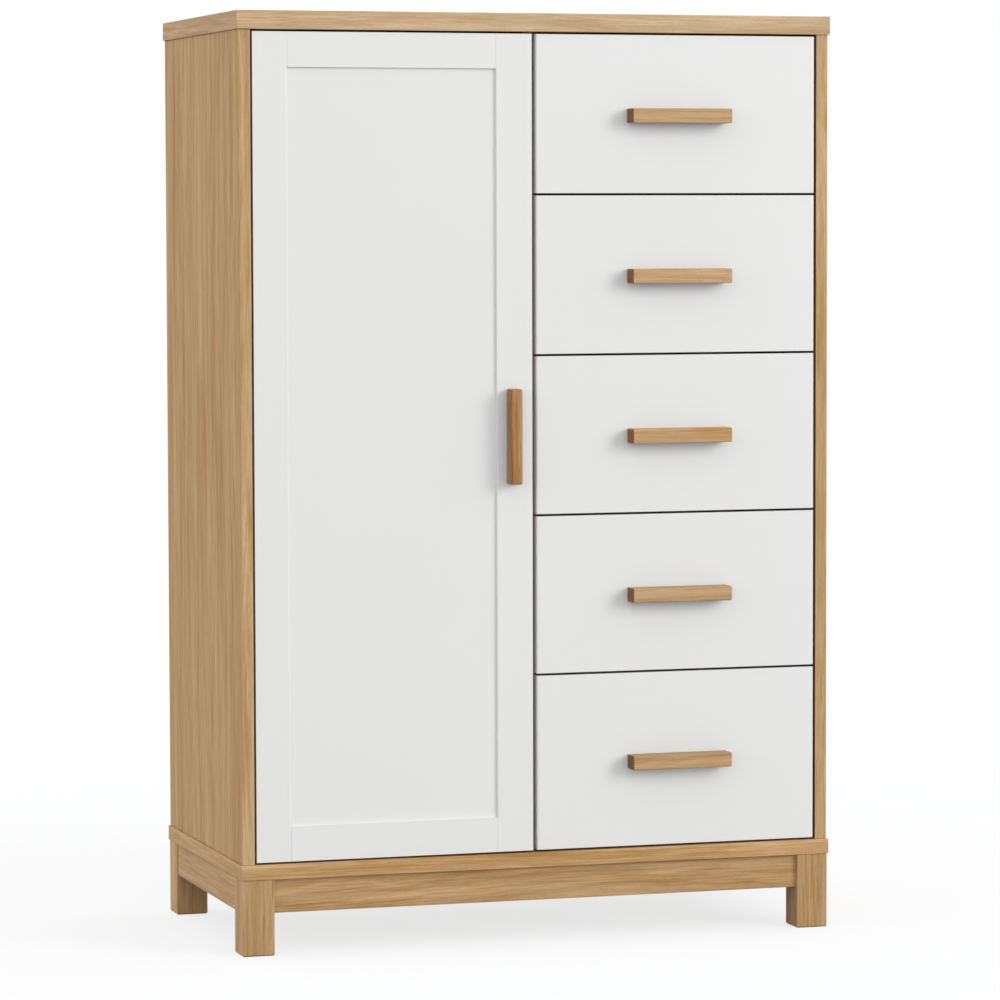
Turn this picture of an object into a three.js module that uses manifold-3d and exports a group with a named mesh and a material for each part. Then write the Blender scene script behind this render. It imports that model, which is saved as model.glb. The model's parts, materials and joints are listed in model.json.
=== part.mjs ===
// Chifforobe: a tall case on four legs, with one framed door over a hanging space and five drawers
// beside it. Millimetres. +X is right, +Y is back, +Z is up. The origin is on the floor, under the
// middle of the whole piece.
import * as THREE from 'three';
import { RoundedBoxGeometry } from 'three/addons/geometries/RoundedBoxGeometry.js';
import { mergeVertices } from 'three/addons/utils/BufferGeometryUtils.js';
import Module from 'manifold-3d';

const wasm = await Module();
wasm.setup();

// Case
const CASE_WIDTH = 908;
const CASE_DEPTH = 464;
const OPENING_HEIGHT = 1211;
const SIDE_T = 18;
const TOP_T = 27;
const BOTTOM_T = 22;
const BOARD_OVERHANG = 3;
const PARTITION_T = 18;
const PARTITION_SETBACK = 2;
const BACK_T = 5;
const REBATE_WIDTH = 8;
const HOUSING_DEPTH = 6;

// Base
const LEG_HEIGHT = 112;
const LEG_SIDE = 48;
const LEG_PROUD = 1;
const APRON_HEIGHT = 50;
const APRON_T = 22;
const FRONT_APRON_SETBACK = 6;
const SIDE_APRON_SETBACK = 1.5;
const TENON_LENGTH = 12;
const TENON_T = 9;
const TENON_SHOULDER = 8;

// Gaps, shared by everything that fits or moves
const FIT = 0.3;
const REVEAL = 3;
const MEETING_GAP = 6;
const OVERRUN = 5;

// Edges
const EASE = 1;
const PULL_EASE = 2;
const EASE_STEPS = 1;
const PULL_EASE_STEPS = 2;

// Door
const DOOR_WIDTH = 422;
const DOOR_T = 20;
const HINGE_STILE_WIDTH = 52;
const LOCK_STILE_WIDTH = 55;
const RAIL_WIDTH = 51;
const DOOR_PANEL_T = 6;
const DOOR_PANEL_RECESS = 4.5;
const DOOR_GROOVE_DEPTH = 10;
const DOOR_PANEL_SLACK = 0.6;

// Wardrobe side
const SHELF_T = 18;
const SHELF_DROP = 260;
const SHELF_SETBACK = 20;
const ROD_R = 12.5;
const ROD_WALL = 1.5;
const ROD_DROP = 45;
const ROD_FROM_BACK = 215;
const SOCKET_R = 24;
const SOCKET_FLANGE_T = 3;
const SOCKET_COLLAR_LENGTH = 12;
const SOCKET_WALL = 3;

// Concealed hinges
const HINGE_END = 100;
const CUP_R = 17.5;
const CUP_DEPTH = 12;
const CUP_WALL = 1;
const CUP_FROM_EDGE = 22.5;
const CUP_FLANGE_R = 19;
const CUP_FLANGE_T = 1.2;
const CUP_EAR_REACH = 26;
const CUP_EAR_WIDTH = 15;
const CUP_PIN_R = 1.5;
const CUP_PIN_FROM_EDGE = 31.5;
const CUP_PIN_DEPTH = 6;
const ARM_WIDTH = 12;
const ARM_RISE = 10;
const ARM_END = 92;
const ARM_CRANK = 36;
const ARM_OVER_RIM = 1;
const ARM_NECK = 2;
const ARM_BEND_STEPS = 4;
const TIP_NEAR = 21;
const TIP_FAR = 28;
const PLATE_T = 2;
const PLATE_START = 50;
const PLATE_END = 80;
const PLATE_REACH = 26;
const PLATE_SADDLE_WIDTH = 18;
const PLATE_SADDLE_RISE = 5;
const PLATE_WING_WIDTH = 14;

// Drawers
const DRAWERS = 5;
const DRAWER_FRONT_T = 20;
const LOW_FRONT_HEIGHT = 259.5;
const BOX_LENGTH = 420;
const BOX_WALL = 15;
const BOX_LIFT = 18;
const BOX_DROP = 32;
const BOX_SIDE_GAP = 1.5;
const BOX_EASE = 0.6;
const BOX_BOTTOM_T = 6;
const BOX_BOTTOM_LIFT = 10;
const BOX_BOTTOM_GROOVE = 6;
const RUNNER_HEIGHT = 18;
const RUNNER_T = 9;
const RUNNER_GROOVE_STOP = 14;
const RUNNER_END_GAP = 0.5;

// Pulls
const DRAWER_PULL_LENGTH = 155;
const DRAWER_PULL_HEIGHT = 21.5;
const DRAWER_PULL_REACH = 30;
const DRAWER_PULL_DROP = 2.5;
const DOOR_PULL_LENGTH = 140.5;
const DOOR_PULL_WIDTH = 17.5;
const DOOR_PULL_REACH = 26;
const DOOR_PULL_FROM_EDGE = 31.5;
const DOOR_PULL_RAISE = 12.5;

const ROUND_STEPS = 28;
const PIN_STEPS = 12;

// Places worked out from the sizes above
const frontY = -(CASE_DEPTH - DRAWER_PULL_REACH) / 2;
const backY = frontY + CASE_DEPTH;
const leftX = -CASE_WIDTH / 2;
const rightX = CASE_WIDTH / 2;
const openLeftX = leftX + SIDE_T;
const openRightX = rightX - SIDE_T;
const floorZ = LEG_HEIGHT + BOTTOM_T;
const ceilingZ = floorZ + OPENING_HEIGHT;
const doorLeftX = openLeftX + REVEAL;
const doorRightX = doorLeftX + DOOR_WIDTH;
const drawerLeftX = doorRightX + MEETING_GAP;
const drawerRightX = openRightX - REVEAL;
const frontWidth = drawerRightX - drawerLeftX;
const doorHeight = OPENING_HEIGHT - 2 * REVEAL;
const upperFrontHeight = (doorHeight - LOW_FRONT_HEIGHT - (DRAWERS - 1) * REVEAL) / (DRAWERS - 1);
const partitionX = (doorRightX + drawerLeftX) / 2;
const partitionLeftX = partitionX - PARTITION_T / 2;
const partitionRightX = partitionX + PARTITION_T / 2;
const partitionFrontY = frontY + Math.max(DOOR_T, DRAWER_FRONT_T) + PARTITION_SETBACK;
const backFaceY = backY - BACK_T;
const housedBackY = backFaceY - FIT;

const oak = { color: 0xb08d62, roughness: 0.55, metalness: 0 };
const oakPull = { color: 0xb98a58, roughness: 0.5, metalness: 0 };
const lacquer = { color: 0xe8e7e3, roughness: 0.45, metalness: 0 };
const drawerWood = { color: 0xd8c39c, roughness: 0.6, metalness: 0 };
const backBoard = { color: 0xa98b66, roughness: 0.7, metalness: 0 };
const steel = { color: 0xb9bbbd, roughness: 0.35, metalness: 1 };

// A solid for cutting and joining, from a closed geometry.
function solid(geometry) {
  const bare = geometry.clone();
  bare.deleteAttribute('normal');
  bare.deleteAttribute('uv');
  const merged = mergeVertices(bare);
  const vertProperties = new Float32Array(merged.attributes.position.array);
  const triVerts = new Uint32Array(merged.index.array);
  return new wasm.Manifold(new wasm.Mesh({ numProp: 3, vertProperties, triVerts }));
}

// A geometry from a solid.
function geometryOf(shape) {
  const result = shape.getMesh();
  const geometry = new THREE.BufferGeometry();
  geometry.setAttribute('position', new THREE.BufferAttribute(result.vertProperties, result.numProp));
  geometry.setIndex(new THREE.BufferAttribute(result.triVerts, 1));
  geometry.computeVertexNormals();
  return geometry;
}

// Moves a centred box so that its faces lie exactly on the given values, as its neighbours' faces do.
function settle(geometry, ranges) {
  const position = geometry.attributes.position;
  ranges.forEach(([low, high], axis) => {
    const half = Math.fround((high - low) / 2);
    for (let i = 0; i < position.count; i += 1) {
      const value = position.getComponent(i, axis);
      position.setComponent(i, axis, value > 0 ? high - (half - value) : low + (half + value));
    }
  });
  return geometry;
}

// A box between two values on each axis, its arrises eased when a radius is given.
function slab(x, y, z, ease = 0, steps = EASE_STEPS) {
  const sides = [x, y, z].map(([low, high]) => high - low);
  const eased = ease > 0;
  const geometry = eased ? new RoundedBoxGeometry(...sides, steps, ease) : new THREE.BoxGeometry(...sides);
  return solid(settle(geometry, [x, y, z]));
}

// A round bar along Y, from y0 to y1, at x and z.
function roundY(radius, x, [y0, y1], z, steps = ROUND_STEPS) {
  return solid(new THREE.CylinderGeometry(radius, radius, y1 - y0, steps).translate(x, (y0 + y1) / 2, z));
}

// A round bar along Z, from z0 to z1, at x and y.
function roundZ(radius, x, y, [z0, z1], steps = PIN_STEPS) {
  const bar = new THREE.CylinderGeometry(radius, radius, z1 - z0, steps);
  return solid(bar.rotateX(Math.PI / 2).translate(x, y, (z0 + z1) / 2));
}

function joined(first, ...others) {
  return others.reduce((whole, other) => whole.add(other), first);
}

function cut(first, ...others) {
  return others.reduce((whole, other) => whole.subtract(other), first);
}

// A named piece in its group.
function piece(group, name, shape, finish) {
  const mesh = new THREE.Mesh(geometryOf(shape), new THREE.MeshStandardMaterial(finish));
  mesh.name = name;
  group.add(mesh);
  return mesh;
}

// The case: boards, rebates for the back and housings for the partition and the shelf

const shelfTopZ = ceilingZ - SHELF_DROP;
const shelfFrontY = partitionFrontY + SHELF_SETBACK;

// The back board's bed: a rebate in each of the four boards round it.
function backBed() {
  const x = [openLeftX - REBATE_WIDTH - FIT, openRightX + REBATE_WIDTH + FIT];
  const z = [floorZ - REBATE_WIDTH - FIT, ceilingZ + REBATE_WIDTH + FIT];
  return slab(x, [housedBackY, backY + OVERRUN], z);
}

// The housing that takes the partition's top and bottom edges.
function partitionHousing() {
  const x = [partitionLeftX - FIT, partitionRightX + FIT];
  const z = [floorZ - HOUSING_DEPTH - FIT, ceilingZ + HOUSING_DEPTH + FIT];
  return slab(x, [partitionFrontY - FIT, housedBackY + FIT], z);
}

// The housing that takes the shelf's two ends.
function shelfHousing() {
  const x = [openLeftX - HOUSING_DEPTH - FIT, partitionLeftX + HOUSING_DEPTH + FIT];
  const z = [shelfTopZ - SHELF_T - FIT, shelfTopZ + FIT];
  return slab(x, [shelfFrontY - FIT, housedBackY + FIT], z);
}

function levelBoard(z) {
  const x = [leftX - BOARD_OVERHANG, rightX + BOARD_OVERHANG];
  const board = slab(x, [frontY - BOARD_OVERHANG, backY], z, EASE);
  return cut(board, backBed(), partitionHousing());
}

function sidePanel(x) {
  return cut(slab(x, [frontY, backY], [floorZ, ceilingZ], EASE), backBed());
}

function centrePartition() {
  const z = [floorZ - HOUSING_DEPTH, ceilingZ + HOUSING_DEPTH];
  const board = slab([partitionLeftX, partitionRightX], [partitionFrontY, housedBackY], z);
  return cut(board, shelfHousing());
}

function backPanel() {
  const x = [openLeftX - REBATE_WIDTH, openRightX + REBATE_WIDTH];
  return slab(x, [backFaceY, backY], [floorZ - REBATE_WIDTH, ceilingZ + REBATE_WIDTH]);
}

function wardrobeShelf() {
  const x = [openLeftX - HOUSING_DEPTH, partitionLeftX + HOUSING_DEPTH];
  return slab(x, [shelfFrontY, housedBackY], [shelfTopZ - SHELF_T, shelfTopZ]);
}

function addCase(group) {
  piece(group, 'top_board', levelBoard([ceilingZ, ceilingZ + TOP_T]), oak);
  piece(group, 'bottom_board', levelBoard([LEG_HEIGHT, floorZ]), oak);
  piece(group, 'left_side_panel', cut(sidePanel([leftX, openLeftX]), shelfHousing()), oak);
  piece(group, 'right_side_panel', sidePanel([openRightX, rightX]), oak);
  piece(group, 'centre_partition', centrePartition(), oak);
  piece(group, 'back_panel', backPanel(), backBoard);
  piece(group, 'wardrobe_shelf', wardrobeShelf(), oak);
}

// The base: four legs, and aprons with stub tenons between them

const legInnerX = rightX + LEG_PROUD - LEG_SIDE;
const legFrontInnerY = frontY - LEG_PROUD + LEG_SIDE;
const legBackInnerY = backY - LEG_SIDE;
const apronZ = [LEG_HEIGHT - APRON_HEIGHT, LEG_HEIGHT];
const tenonZ = [apronZ[0] + TENON_SHOULDER, apronZ[1] - TENON_SHOULDER];
const sideApronX = rightX + LEG_PROUD - SIDE_APRON_SETBACK - APRON_T / 2;
const frontApronY = frontY - LEG_PROUD + FRONT_APRON_SETBACK + APRON_T / 2;
const backApronY = backY - FRONT_APRON_SETBACK - APRON_T / 2;

function around(middle, width) {
  return [middle - width / 2, middle + width / 2];
}

function wider([low, high], by) {
  return [low - by, high + by];
}

// The tenons of an apron that runs along X, longer and thicker by the fit when they cut the mortises.
function crossTenons(y, fit = 0) {
  const x = wider([-legInnerX, legInnerX], TENON_LENGTH + fit);
  return slab(x, around(y, TENON_T + 2 * fit), wider(tenonZ, fit));
}

// The tenons of an apron that runs along Y.
function endTenons(x, fit = 0) {
  const y = wider([legFrontInnerY, legBackInnerY], TENON_LENGTH + fit);
  return slab(around(x, TENON_T + 2 * fit), y, wider(tenonZ, fit));
}

function leg(side, y) {
  const outerX = rightX + LEG_PROUD;
  const x = side > 0 ? [legInnerX, outerX] : [-outerX, -legInnerX];
  const apronY = y[0] < 0 ? frontApronY : backApronY;
  const post = slab(x, y, [0, LEG_HEIGHT], EASE);
  return cut(post, crossTenons(apronY, FIT), endTenons(side * sideApronX, FIT));
}

function crossApron(y) {
  return joined(slab([-legInnerX, legInnerX], around(y, APRON_T), apronZ, EASE), crossTenons(y));
}

function endApron(x) {
  return joined(slab(around(x, APRON_T), [legFrontInnerY, legBackInnerY], apronZ, EASE), endTenons(x));
}

function addBase(group) {
  const frontLegY = [frontY - LEG_PROUD, legFrontInnerY];
  const backLegY = [legBackInnerY, backY];
  piece(group, 'front_left_leg', leg(-1, frontLegY), oak);
  piece(group, 'front_right_leg', leg(1, frontLegY), oak);
  piece(group, 'back_left_leg', leg(-1, backLegY), oak);
  piece(group, 'back_right_leg', leg(1, backLegY), oak);
  piece(group, 'front_apron', crossApron(frontApronY), oak);
  piece(group, 'back_apron', crossApron(backApronY), oak);
  piece(group, 'left_apron', endApron(-sideApronX), oak);
  piece(group, 'right_apron', endApron(sideApronX), oak);
}

// The hanging rod and its two sockets

function rodSocket() {
  const bore = ROD_R + FIT;
  const collar = bore + SOCKET_WALL;
  const outline = [
    new THREE.Vector2(0, 0),
    new THREE.Vector2(SOCKET_R, 0),
    new THREE.Vector2(SOCKET_R, SOCKET_FLANGE_T),
    new THREE.Vector2(collar, SOCKET_FLANGE_T),
    new THREE.Vector2(collar, SOCKET_FLANGE_T + SOCKET_COLLAR_LENGTH),
    new THREE.Vector2(bore, SOCKET_FLANGE_T + SOCKET_COLLAR_LENGTH),
    new THREE.Vector2(bore, SOCKET_FLANGE_T),
    new THREE.Vector2(0, SOCKET_FLANGE_T),
  ];
  return new THREE.LatheGeometry(outline, ROUND_STEPS);
}

function rodTube(length) {
  const outline = [
    new THREE.Vector2(ROD_R - ROD_WALL, -length / 2),
    new THREE.Vector2(ROD_R, -length / 2),
    new THREE.Vector2(ROD_R, length / 2),
    new THREE.Vector2(ROD_R - ROD_WALL, length / 2),
    new THREE.Vector2(ROD_R - ROD_WALL, -length / 2),
  ];
  return new THREE.LatheGeometry(outline, ROUND_STEPS);
}

function addRod(group) {
  const rail = new THREE.Group();
  const rodZ = shelfTopZ - SHELF_T - ROD_DROP;
  rail.position.set((openLeftX + partitionLeftX) / 2, backFaceY - ROD_FROM_BACK, rodZ);
  const span = partitionLeftX - openLeftX;
  const turn = Math.PI / 2;
  const tube = piece(rail, 'hanging_rod', solid(rodTube(span - 2 * (SOCKET_FLANGE_T + FIT))), steel);
  tube.rotation.z = turn;
  const left = piece(rail, 'left_rod_socket', solid(rodSocket()), steel);
  left.rotation.z = -turn;
  left.position.x = -span / 2;
  const right = piece(rail, 'right_rod_socket', solid(rodSocket()), steel);
  right.rotation.z = turn;
  right.position.x = span / 2;
  group.add(rail);
}

// The concealed hinges. In their own frame the origin is on the turning line at the door's front corner.

const cupSeatY = DOOR_T + FIT;
const cupFlangeY = cupSeatY + CUP_FLANGE_T;

function hingeCup() {
  const bowlY = [DOOR_T - CUP_DEPTH + FIT, cupFlangeY];
  const flangeY = [cupSeatY, cupFlangeY];
  const bowl = roundY(CUP_R - FIT, CUP_FROM_EDGE, bowlY, 0);
  const flange = roundY(CUP_FLANGE_R, CUP_FROM_EDGE, flangeY, 0);
  const earX = around(CUP_FROM_EDGE, CUP_EAR_WIDTH);
  const ears = slab(earX, flangeY, around(0, 2 * (CUP_EAR_REACH - CUP_EAR_WIDTH / 2)));
  const tips = [-1, 1].map((end) => {
    return roundY(CUP_EAR_WIDTH / 2, CUP_FROM_EDGE, flangeY, end * (CUP_EAR_REACH - CUP_EAR_WIDTH / 2));
  });
  const hollowY = [bowlY[0] + CUP_WALL, cupFlangeY + OVERRUN];
  const hollow = roundY(CUP_R - FIT - CUP_WALL, CUP_FROM_EDGE, hollowY, 0);
  const shell = cut(joined(bowl, flange, ears, ...tips), hollow);
  const pinY = cupFlangeY - CUP_PIN_DEPTH;
  const pinOffset = CUP_PIN_FROM_EDGE + CUP_PIN_R - CUP_FROM_EDGE;
  const reach = Math.sqrt((CUP_R - FIT - CUP_WALL / 2) ** 2 - pinOffset ** 2);
  return joined(shell, roundZ(CUP_PIN_R, CUP_PIN_FROM_EDGE, pinY, around(0, 2 * reach)));
}

// The cranked arm seen along the turning line: it clears the cup's rim as the door swings.
function armOutline() {
  const seatX = -REVEAL + FIT + PLATE_T;
  const riseX = -REVEAL + ARM_RISE;
  const tipY = DOOR_T - CUP_DEPTH + FIT + CUP_WALL + FIT;
  const rimX = CUP_FROM_EDGE - (CUP_R - FIT - CUP_WALL);
  const overRimY = cupFlangeY + ARM_OVER_RIM;
  const noseBackY = ARM_CRANK - ARM_RISE / 2;
  const outline = new THREE.Shape();
  outline.moveTo(seatX, ARM_END);
  outline.lineTo(seatX, ARM_CRANK);
  outline.quadraticCurveTo(seatX, overRimY, rimX + ARM_RISE / 2, overRimY);
  outline.quadraticCurveTo(TIP_NEAR - ARM_NECK, cupFlangeY - ARM_OVER_RIM, TIP_NEAR, tipY);
  outline.lineTo(TIP_FAR, tipY);
  outline.lineTo(TIP_FAR, cupFlangeY);
  outline.quadraticCurveTo(TIP_FAR, noseBackY, TIP_NEAR, noseBackY);
  outline.lineTo(riseX + ARM_RISE, noseBackY);
  outline.quadraticCurveTo(riseX, noseBackY, riseX, ARM_CRANK + ARM_RISE / 2);
  outline.lineTo(riseX, ARM_END - ARM_RISE);
  outline.closePath();
  return outline;
}

function hingeArm() {
  const panelX = -REVEAL + FIT;
  const pressed = { depth: ARM_WIDTH, bevelEnabled: false, curveSegments: ARM_BEND_STEPS };
  const arm = solid(new THREE.ExtrudeGeometry(armOutline(), pressed).translate(0, 0, -ARM_WIDTH / 2));
  const plateX = [panelX, panelX + PLATE_T];
  const plateY = [PLATE_START, PLATE_END];
  const spine = slab(plateX, [ARM_CRANK, ARM_END], around(0, PLATE_SADDLE_WIDTH));
  const wingY = around((PLATE_START + PLATE_END) / 2, PLATE_WING_WIDTH);
  const wings = slab(plateX, wingY, [-PLATE_REACH, PLATE_REACH]);
  const saddle = slab([panelX, panelX + PLATE_SADDLE_RISE], plateY, around(0, PLATE_SADDLE_WIDTH));
  return joined(arm, spine, wings, saddle);
}

const hinges = [
  { name: 'top', z: doorHeight - HINGE_END },
  { name: 'middle', z: doorHeight / 2 },
  { name: 'bottom', z: HINGE_END },
];

// The door, in a frame whose origin is its lower left front corner

const panelY = [DOOR_PANEL_RECESS, DOOR_PANEL_RECESS + DOOR_PANEL_T];
const railX = [HINGE_STILE_WIDTH, DOOR_WIDTH - LOCK_STILE_WIDTH];
const sightZ = [RAIL_WIDTH, doorHeight - RAIL_WIDTH];

// The groove that runs round the inner edges of the frame and takes the panel.
function doorGroove() {
  return slab(wider(railX, DOOR_GROOVE_DEPTH), wider(panelY, FIT), wider(sightZ, DOOR_GROOVE_DEPTH));
}

// A stile is grooved from end to end, for the panel and the rails' tongues.
function stile(x) {
  const groove = slab(wider(railX, DOOR_GROOVE_DEPTH), wider(panelY, FIT), wider([0, doorHeight], OVERRUN));
  return cut(slab(x, [0, DOOR_T], [0, doorHeight], EASE), groove);
}

function hingeStile() {
  const bores = hinges.map((hinge) => {
    return roundY(CUP_R, CUP_FROM_EDGE, [DOOR_T - CUP_DEPTH, DOOR_T + OVERRUN], hinge.z);
  });
  return cut(stile([0, HINGE_STILE_WIDTH]), ...bores);
}

function rail(z) {
  const bar = slab(railX, [0, DOOR_T], z, EASE);
  const tongue = slab(wider(railX, DOOR_GROOVE_DEPTH - FIT), panelY, z);
  return cut(joined(bar, tongue), doorGroove());
}

function doorPanel() {
  const reach = DOOR_GROOVE_DEPTH - DOOR_PANEL_SLACK;
  return slab(wider(railX, reach), panelY, wider(sightZ, reach));
}

function doorPull() {
  const x = around(DOOR_WIDTH - DOOR_PULL_FROM_EDGE, DOOR_PULL_WIDTH);
  const z = around(doorHeight / 2 + DOOR_PULL_RAISE, DOOR_PULL_LENGTH);
  return slab(x, [-DOOR_PULL_REACH, 0], z, PULL_EASE, PULL_EASE_STEPS);
}

function addDoor(group) {
  const door = new THREE.Group();
  door.position.set(doorLeftX, frontY, floorZ + REVEAL);
  piece(door, 'door_hinge_stile', hingeStile(), lacquer);
  piece(door, 'door_lock_stile', stile([DOOR_WIDTH - LOCK_STILE_WIDTH, DOOR_WIDTH]), lacquer);
  piece(door, 'door_top_rail', rail([doorHeight - RAIL_WIDTH, doorHeight]), lacquer);
  piece(door, 'door_bottom_rail', rail([0, RAIL_WIDTH]), lacquer);
  piece(door, 'door_panel', doorPanel(), lacquer);
  piece(door, 'door_pull', doorPull(), oakPull);
  for (const hinge of hinges) {
    piece(door, `${hinge.name}_hinge_cup`, hingeCup(), steel).position.z = hinge.z;
    piece(door, `${hinge.name}_hinge_arm`, hingeArm(), steel).position.z = hinge.z;
  }
  group.add(door);
}

// The drawers, each in a frame whose origin is the middle of its front's lower front edge

const boxY = [DRAWER_FRONT_T, DRAWER_FRONT_T + BOX_LENGTH];
const columnMiddleX = (partitionRightX + openRightX) / 2;
const boxHalfWidth = (openRightX - partitionRightX) / 2 - BOX_SIDE_GAP;
const runnerY = [boxY[0] + RUNNER_GROOVE_STOP + RUNNER_END_GAP, boxY[1]];

function boxZ(height) {
  return [BOX_LIFT, height - BOX_DROP];
}

function runnerZ(height) {
  const [low, high] = boxZ(height);
  return around((low + high) / 2, RUNNER_HEIGHT);
}

function bottomBed(slack) {
  const x = wider([-boxHalfWidth + BOX_WALL, boxHalfWidth - BOX_WALL], BOX_BOTTOM_GROOVE - slack);
  const y = wider([boxY[0] + BOX_WALL, boxY[1] - BOX_WALL], BOX_BOTTOM_GROOVE - slack);
  const low = BOX_LIFT + BOX_BOTTOM_LIFT;
  return slab(x, y, wider([low, low + BOX_BOTTOM_T], -slack / 2));
}

function drawerBox(height) {
  const z = boxZ(height);
  const outside = slab([-boxHalfWidth, boxHalfWidth], boxY, z, BOX_EASE);
  const insideX = [-boxHalfWidth + BOX_WALL, boxHalfWidth - BOX_WALL];
  const inside = slab(insideX, [boxY[0] + BOX_WALL, boxY[1] - BOX_WALL], wider(z, OVERRUN));
  const grooves = [-1, 1].map((side) => {
    const depth = RUNNER_T - BOX_SIDE_GAP + FIT;
    const ends = [side * (boxHalfWidth - depth), side * (boxHalfWidth + OVERRUN)];
    const x = [Math.min(...ends), Math.max(...ends)];
    return slab(x, [boxY[0] + RUNNER_GROOVE_STOP, boxY[1] + OVERRUN], wider(runnerZ(height), FIT));
  });
  return cut(outside, inside, bottomBed(0), ...grooves);
}

function drawerFront(height) {
  const middle = (drawerLeftX + drawerRightX) / 2 - columnMiddleX;
  return slab(around(middle, frontWidth), [0, DRAWER_FRONT_T], [0, height], EASE);
}

function drawerPull(height) {
  const middle = (drawerLeftX + drawerRightX) / 2 - columnMiddleX;
  const x = around(middle, DRAWER_PULL_LENGTH);
  const z = around(height / 2 - DRAWER_PULL_DROP, DRAWER_PULL_HEIGHT);
  return slab(x, [-DRAWER_PULL_REACH, 0], z, PULL_EASE, PULL_EASE_STEPS);
}

function runner(side, height) {
  const wall = boxHalfWidth + BOX_SIDE_GAP - FIT;
  const x = side > 0 ? [wall - RUNNER_T, wall] : [-wall, RUNNER_T - wall];
  return slab(x, runnerY, runnerZ(height), EASE);
}

function addDrawers(group) {
  let frontTopZ = ceilingZ - REVEAL;
  for (let number = 1; number <= DRAWERS; number += 1) {
    const height = number < DRAWERS ? upperFrontHeight : LOW_FRONT_HEIGHT;
    const drawer = new THREE.Group();
    drawer.position.set(columnMiddleX, frontY, frontTopZ - height);
    piece(drawer, `drawer_${number}_front`, drawerFront(height), lacquer);
    piece(drawer, `drawer_${number}_box`, drawerBox(height), drawerWood);
    piece(drawer, `drawer_${number}_bottom`, bottomBed(FIT), drawerWood);
    piece(drawer, `drawer_${number}_pull`, drawerPull(height), oakPull);
    piece(drawer, `drawer_${number}_left_runner`, runner(-1, height), drawerWood);
    piece(drawer, `drawer_${number}_right_runner`, runner(1, height), drawerWood);
    group.add(drawer);
    frontTopZ -= height + REVEAL;
  }
}

const chifforobe = new THREE.Group();
addCase(chifforobe);
addBase(chifforobe);
addRod(chifforobe);
addDoor(chifforobe);
addDrawers(chifforobe);

export default chifforobe;
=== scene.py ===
# %% [markdown]
# # Dressing a chifforobe
# The cabinet arrives as a measured construction: sixty plain solids on seven moving bodies. That
# model says where every board, hinge and drawer is. This lesson gives it its looks: softly rounded
# edges, oak with grain that runs the right way on each board, satin white lacquer, real corner
# joints on the drawers, screws in the hinges. Nothing here moves or resizes the measured parts. A
# piece that needs more shape than its solid has is modelled again in the same place.

# %% Load the measured construction
import json
import math

import bmesh
import bpy
from mathutils import Matrix, Vector

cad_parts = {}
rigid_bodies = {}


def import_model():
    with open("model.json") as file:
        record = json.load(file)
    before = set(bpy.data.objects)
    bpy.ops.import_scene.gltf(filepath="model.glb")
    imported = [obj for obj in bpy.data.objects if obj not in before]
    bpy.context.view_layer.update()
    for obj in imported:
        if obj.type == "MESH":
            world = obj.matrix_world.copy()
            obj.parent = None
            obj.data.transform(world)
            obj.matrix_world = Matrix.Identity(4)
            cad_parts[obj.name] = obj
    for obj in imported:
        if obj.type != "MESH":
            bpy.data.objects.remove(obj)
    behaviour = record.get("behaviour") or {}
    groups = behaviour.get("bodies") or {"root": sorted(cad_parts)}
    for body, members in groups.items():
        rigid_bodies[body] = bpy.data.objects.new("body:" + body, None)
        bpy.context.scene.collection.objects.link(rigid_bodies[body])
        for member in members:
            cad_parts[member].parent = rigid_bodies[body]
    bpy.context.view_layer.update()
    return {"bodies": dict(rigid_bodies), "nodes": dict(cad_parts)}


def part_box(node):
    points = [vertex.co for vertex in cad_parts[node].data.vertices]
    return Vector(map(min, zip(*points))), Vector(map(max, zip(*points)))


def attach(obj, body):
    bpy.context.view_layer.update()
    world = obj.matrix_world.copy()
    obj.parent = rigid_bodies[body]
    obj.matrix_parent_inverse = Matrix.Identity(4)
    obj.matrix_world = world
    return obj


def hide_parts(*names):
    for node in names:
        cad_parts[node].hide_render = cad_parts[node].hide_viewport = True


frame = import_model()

nodes = frame["nodes"]
DRAWERS = [body for body in frame["bodies"] if body.startswith("drawer_")]

# %% [markdown]
# ## The camera
# The picture was taken with a long lens from the left front, a little below the top. Its place, aim
# and focal length were worked out from the edges of the cabinet, so a corner of the model lands
# where the same corner is in the picture.

# %% Place the camera
CAMERA_PLACE = Vector((-2.0153, -6.4928, 1.0758))
CAMERA_TURN = math.radians(17.294)
CAMERA_TILT = math.radians(3.633)
CAMERA_ROLL = math.radians(-0.148)
CAMERA_LENS = 161.1
SENSOR_WIDTH = 36.0

camera = bpy.data.objects.new("camera", bpy.data.cameras.new("camera"))
bpy.context.scene.collection.objects.link(camera)
camera.data.lens = CAMERA_LENS
camera.data.sensor_width = SENSOR_WIDTH
camera.matrix_world = (
    Matrix.Translation(CAMERA_PLACE)
    @ Matrix.Rotation(-CAMERA_TURN, 4, "Z")
    @ Matrix.Rotation(math.pi / 2 - CAMERA_TILT, 4, "X")
    @ Matrix.Rotation(CAMERA_ROLL, 4, "Z")
)
bpy.context.scene.camera = camera
print("camera at", tuple(CAMERA_PLACE), "lens", CAMERA_LENS)

# %% [markdown]
# ## Working by hand, in code
# Each new piece starts as a primitive at its size and place. Then it is shaped in edit mode.
# Operators act on whatever is selected, so the first helper selects one piece and nothing else, and
# the others pick edges or corners by where they are. A finished piece keeps its place in its mesh,
# so that wood grain read from object coordinates stays put when the piece is moved by a joint. What
# repeats, such as a leg, a drawer box or a screw, is modelled once and copied, each copy with a
# mesh of its own.

# %% Helpers for modelling
MM = 0.001
X, Y, Z = 0, 1, 2
AXIS_TURNS = {"x": (0, math.pi / 2, 0), "y": (math.pi / 2, 0, 0), "z": (0, 0, 0)}
SAME_PLACE = 0.5 * MM
HAIR = 0.1 * MM
STRAIGHT = 0.999
FLAT_ANGLE = math.radians(35)
PLAY = 0.3 * MM


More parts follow.
